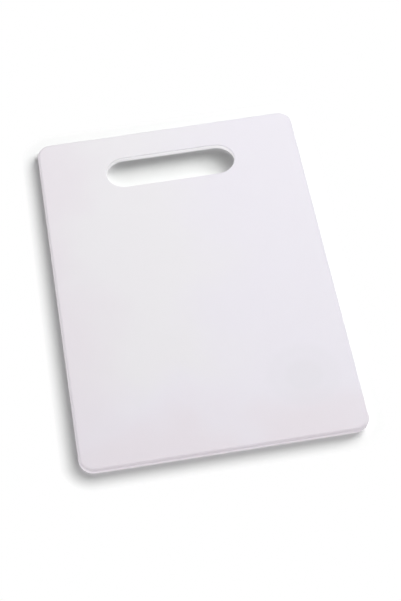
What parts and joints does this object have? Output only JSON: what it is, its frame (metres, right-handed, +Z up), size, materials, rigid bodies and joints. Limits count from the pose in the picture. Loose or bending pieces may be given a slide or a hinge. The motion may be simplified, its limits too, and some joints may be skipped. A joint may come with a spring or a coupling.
{
  "type": "cutting board",
  "caption": "Thin rectangular plastic cutting board with rounded corners and edges and a long round-ended handle slot across one end.",
  "frame": {"origin": "middle of the underside's outline, on the surface that the board lies on", "axes": "+Z up out of the cutting face, +Y along the length towards the end with the handle slot, +X across the width to the right"},
  "size_m": [0.2, 0.3, 0.004],
  "materials": {
    "white_plastic": "satin moulded plastic, milky white that leans slightly to violet, with a fine grain"
  },
  "bodies": {
    "root": {"board": "white_plastic"}
  },
  "joints": []
}
